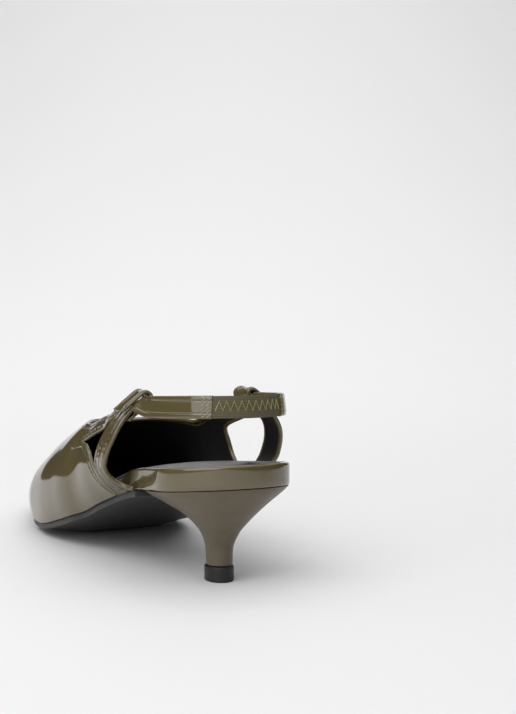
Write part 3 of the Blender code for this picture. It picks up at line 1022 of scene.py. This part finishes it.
def board_inset(station):
    inside_wrap = wrap_inset(station) + WRAP + 2 * GAP
    inside_upper = WALL + 2 * GAP
    return inside_wrap + (inside_upper - inside_wrap) * eased(station, WRAP_END, WRAP_END + WRAP_TAPER)


def wrap_edge(part):
    """Foot of the wrap's outer face: part runs from -1, lateral, by the back to 1, medial."""
    station = WRAP_END * (1 - math.cos(math.pi / 2 * part))
    out = half_width(station) - wrap_inset(station)
    side = -1 if part < 0 else 1
    return station, Vector((middle(station) + side * out, along(station), 0.0))


def wrap_section(height):
    """Closed section as distances inwards and upwards, anticlockwise from the outer foot."""
    top = height + WRAP_LIFT
    section = [(WRAP_LEAF / 2, 0.0), (0.0, WRAP_LEAF)]
    section += [(0.0, WRAP_LEAF + (top - WRAP_ROLL - WRAP_LEAF) * k / WRAP_FACE_PARTS)
                for k in range(1, WRAP_FACE_PARTS)]
    section += [(WRAP_ROLL * (1 - math.cos(a)), top - WRAP_ROLL * (1 - math.sin(a)))
                for a in (math.pi / 2 * k / WRAP_ROLL_PARTS for k in range(WRAP_ROLL_PARTS + 1))]
    section += [(WRAP_LIP - WRAP_LEAF / 2, top), (WRAP_LIP, top - WRAP_LEAF / 2),
                (WRAP_LIP, top - WRAP_LEAF), (WRAP + GAP, top - WRAP_LEAF),
                (WRAP, top - WRAP_LEAF - GAP), (WRAP, 0.0)]
    return section + section[:1]


def wrap_place(row, turn):
    part = 2 * row - 1
    station, foot = wrap_edge(part)
    ahead = (wrap_edge(min(1.0, part + WRAP_AHEAD))[1]
             - wrap_edge(max(-1.0, part - WRAP_AHEAD))[1]).normalized()
    inward = Vector((-ahead.y, ahead.x, 0.0))
    height = pad_height(station) * (1 - WRAP_DROP * eased(station, WRAP_END - WRAP_TAPER, WRAP_END))
    section = wrap_section(height)
    inwards, level = section[round(turn * (len(section) - 1))]
    return foot + inward * inwards + Vector((0.0, 0.0, underside(station) + level))


wrap = build("seat_wrap_cover", capped(surface(
    180, len(wrap_section(SEAT_EDGE)) - 1, wrap_place,
    lambda row, turn: {"edge": SEAT_EDGE * 1000})), olive_patent)
settle(wrap, 60)
wears(wrap, "patent", "seat_wrap")


# Sole: board, sock and outsole follow the feather line. The sock is a dark fine-grained
# lining leather, the outsole a hard charcoal rubber, polished a little by wear.
SOCK_CROWN = 0.0014                  # the padded sock's rise in the middle of the seat
LAYER_SOFT = 0.00035


def layer(name, material, first, last, inset, bottom, top, ends=WALL + 2 * GAP, crown=0.0):
    """Closed layer between two heights, drawn in from the plan's outline."""
    drawn = ends / LENGTH

    def place(row, turn):
        share = 2 * turn - 1
        station = first + (last - first) * (0.5 - 0.5 * math.cos(math.pi * row))
        half = max(0.0, half_width(station) - inset(station))
        if row in (0.0, 1.0) and station in (0.0, 1.0):
            half = 0.0
        across = math.sin(math.pi / 2 * share)
        rise = edge_rise(station, across if half else 1.0)
        rise += crown * (1 - across * across) * (1 - eased(station, PAD_END, PAD_FADE))
        return Vector((middle(station) + half * across,
                       along(drawn + station * (1 - 2 * drawn)), bottom(station) + rise))

    bm = surface(150, 40, place)
    raised = bmesh.ops.extrude_face_region(bm, geom=bm.faces[:])
    for item in raised["geom"]:
        if isinstance(item, bmesh.types.BMVert):
            station = (station_of(item.co) - drawn) / (1 - 2 * drawn)
            item.co.z += top(station) - bottom(station)
    bmesh.ops.recalc_face_normals(bm, faces=bm.faces)
    made = build(name, bm, material)
    soften(made, LAYER_SOFT, 3)
    return settle(made, 50)


def rubber(name, color, roughness):
    """Hard rubber: even, with faint flow marks and fine scuffs."""
    material, principled, at = blank(name)
    grit = noise(at, 2200.0, 3.0)
    drawn_out = at.node("ShaderNodeMapping", None, {"Vector": at, "Scale": (900.0, 60.0, 300.0)})
    scuffs = noise(drawn_out, 1.0, 4.0)
    finish(principled, mottled(scuffs, color, 0.8, 1.25), grit + scuffs, 0.00004, 0.6,
           roughness + 0.25 * (scuffs - 0.5))
    principled.inputs["Specular IOR Level"].default_value = 0.30
    return material


sock_leather = lining("sock_leather", (0.090, 0.088, 0.092), 0.45)
board_fibre = lining("board_fibre", (0.16, 0.13, 0.095), 0.85)
sole_rubber = rubber("sole_rubber", (0.032, 0.032, 0.035), 0.45)
lift_rubber = rubber("lift_rubber", (0.020, 0.020, 0.022), 0.38)

board = layer("board_layer", board_fibre, 0.0, 1.0, board_inset,
              underside, lambda s: underside(s) + pad_height(s) - SOCK - GAP)
wears(board, "board", "insole_board")
sock = layer("sock_layer", sock_leather, 0.0, 1.0, board_inset,
             lambda s: underside(s) + pad_height(s) - SOCK,
             lambda s: underside(s) + pad_height(s), crown=SOCK_CROWN)
wears(sock, "sock", "insole_sock")
outsole = layer("outsole_layer", sole_rubber, (BREAST + GAP) / LENGTH, 1.0, lambda s: WALL / 2,
                lambda s: underside(s) - GAP - OUTSOLE, lambda s: underside(s) - GAP, WALL / 2)
wears(outsole, "sole", "outsole")

# Heel: a waisted kitten heel covered in satin leather, rounded behind and nearly flat at
# the breast, on a dark top lift. Rings from the lift to the seat follow one table.
LIFT_HEIGHT = 0.0060
LIFT_WIDTH = 0.0109
LIFT_LENGTH = 0.0126
HEEL_WIDEST = 0.52
AROUND = 96
HEEL = (
    # height, back, front, half width, corners
    (0.00, 0.452, 0.668, 0.182, 0.80),
    (0.20, 0.446, 0.670, 0.190, 0.80),
    (0.40, 0.385, 0.690, 0.255, 0.76),
    (0.56, 0.285, 0.745, 0.375, 0.70),
    (0.70, 0.185, 0.835, 0.525, 0.64),
    (0.84, 0.095, 0.940, 0.730, 0.56),
    (0.94, 0.045, 0.985, 0.890, 0.50),
    (1.00, 0.026, 0.995, 0.968, 0.46),
)


def heel_point(level, around):
    back = column(HEEL, 1, level) * BREAST
    front = column(HEEL, 2, level) * BREAST - GAP
    wide = column(HEEL, 3, level) * SEAT_WIDTH / 2
    corners = column(HEEL, 4, level)
    side, ahead = math.cos(2 * math.pi * around), math.sin(2 * math.pi * around)
    deepest = back + (front - back) * HEEL_WIDEST
    reach = (front - deepest) if ahead > 0 else (deepest - back)
    power = corners if ahead > 0 else 1.0
    y = deepest + reach * fuller(ahead, power)
    x = wide * fuller(side, power)
    seat = underside(y / LENGTH) - GAP
    return Vector((x, y - TIP_FROM_BACK, LIFT_HEIGHT + GAP + level * (seat - LIFT_HEIGHT - GAP)))


def satin(name, color, roughness):
    """Fine smooth leather with a soft sheen and a barely seen grain."""
    material = lining(name, color, roughness)
    principled = material.node_tree.nodes["Principled BSDF"]
    principled.inputs["Specular IOR Level"].default_value = 0.30
    principled.inputs["Coat Weight"].default_value = 0.10
    principled.inputs["Coat Roughness"].default_value = 0.3
    return material


heel_leather = satin("heel_leather", (0.120, 0.098, 0.065), 0.40)
heel = build("heel_block", capped(surface(120, AROUND, heel_point)), heel_leather)
soften(heel, 0.0004, 3, 50)
settle(heel, 50)
wears(heel, "heel_cover", "heel")

base = [heel_point(0.0, k / AROUND) for k in range(AROUND)]
mid_y = (max(p.y for p in base) + min(p.y for p in base)) / 2
wider = LIFT_WIDTH / (max(p.x for p in base) - min(p.x for p in base))
longer = LIFT_LENGTH / (max(p.y for p in base) - min(p.y for p in base))


def lift_place(row, turn):
    point = heel_point(0.0, turn)
    return Vector((point.x * wider, (point.y - mid_y) * longer, LIFT_HEIGHT * row))


lift = build("lift_block", capped(surface(4, AROUND, lift_place)), lift_rubber)
soften(lift, 0.0005, 3, 50)
settle(lift, 50)
wears(lift, "lift", "top_lift")

# Stitches: one row of dark thread inside the toplines and the throat, sunk in its groove.
# At each joint of strap and elastic two close zigzags of paler thread run across.
STITCH_INSIDE = 0.0022
STITCH_STEP = 0.0026
STITCH_LENGTH = 0.0019
STITCH_THICK = 0.00036
STITCH_SUNK = 0.00006
CORNER = 0.35                        # radians between two steps, past which no stitch lies
FACES_OUT = 0.2                      # least cosine to the outside where a stitch may lie


def stitches(name, lines, thread):
    """A short swollen stitch at each pair of a point and its direction on the leather."""
    bm = bmesh.new()
    for point, ahead, outward in lines:
        across = ahead.cross(outward).normalized()
        turn = Matrix((ahead, across, outward)).transposed().to_4x4()
        size = Matrix.Diagonal((STITCH_LENGTH / 2, STITCH_THICK / 2, STITCH_THICK / 2, 1.0))
        bmesh.ops.create_icosphere(bm, subdivisions=2, radius=1.0,
                                   matrix=Matrix.Translation(point) @ turn @ size)
    made = build(name, bm, thread)
    made.data.shade_smooth()
    return made


sewn = []
for line in (cut_edges[0], cut_edges[2], cut_edges[4]):
    spaced = even(line, STITCH_STEP)
    for before, point, after in zip(spaced, spaced[1:], spaced[2:]):
        if (after - point).angle(point - before) > CORNER:
            continue
        ahead = (after - before).normalized()
        facing = facing_out(point)
        for sign in (-1, 1):
            inside = point + sign * facing.cross(ahead).normalized() * STITCH_INSIDE
            spot, normal, _, away = skin_tree.find_nearest(inside)
            if away < STITCH_INSIDE / 4 and normal.dot(facing) > FACES_OUT:
                ahead_here = (ahead - normal * ahead.dot(normal)).normalized()
                sewn.append((spot - normal * STITCH_SUNK, ahead_here, normal))
                break
seams = stitches("upper_stitches", sewn, olive_thread)
wears(seams, "patent")

JOINT_COLUMNS = (0.0013, 0.0032)     # from the leather's end
JOINT_STEP = 0.00075
JOINT_STEPS = 5                      # up and down from the middle
JOINT_HALF = 0.0007                  # half the zigzag's width
JOINT_THREAD = 0.00025
columns = []
for end, back in zip(leather_ends, (-1, 1)):
    for inside in JOINT_COLUMNS:
        line = []
        for k in range(-JOINT_STEPS, JOINT_STEPS + 1):
            level = k * JOINT_STEP
            swing = JOINT_HALF if k % 2 else -JOINT_HALF
            point, outward, up = strap_at(end + back * (inside + swing))
            share = min(1.0, abs(2 * level / STRAP_WIDTH)) ** (1 / FULL_EDGE)
            full = STRAP / 2 * math.sqrt(1 - share * share) ** PILLOW
            line.append(point + up * level + outward * full)
        columns.append(line)
joints = tube("joint_zigzag", columns, JOINT_THREAD, joint_thread, 2)
wears(joints, "patent")
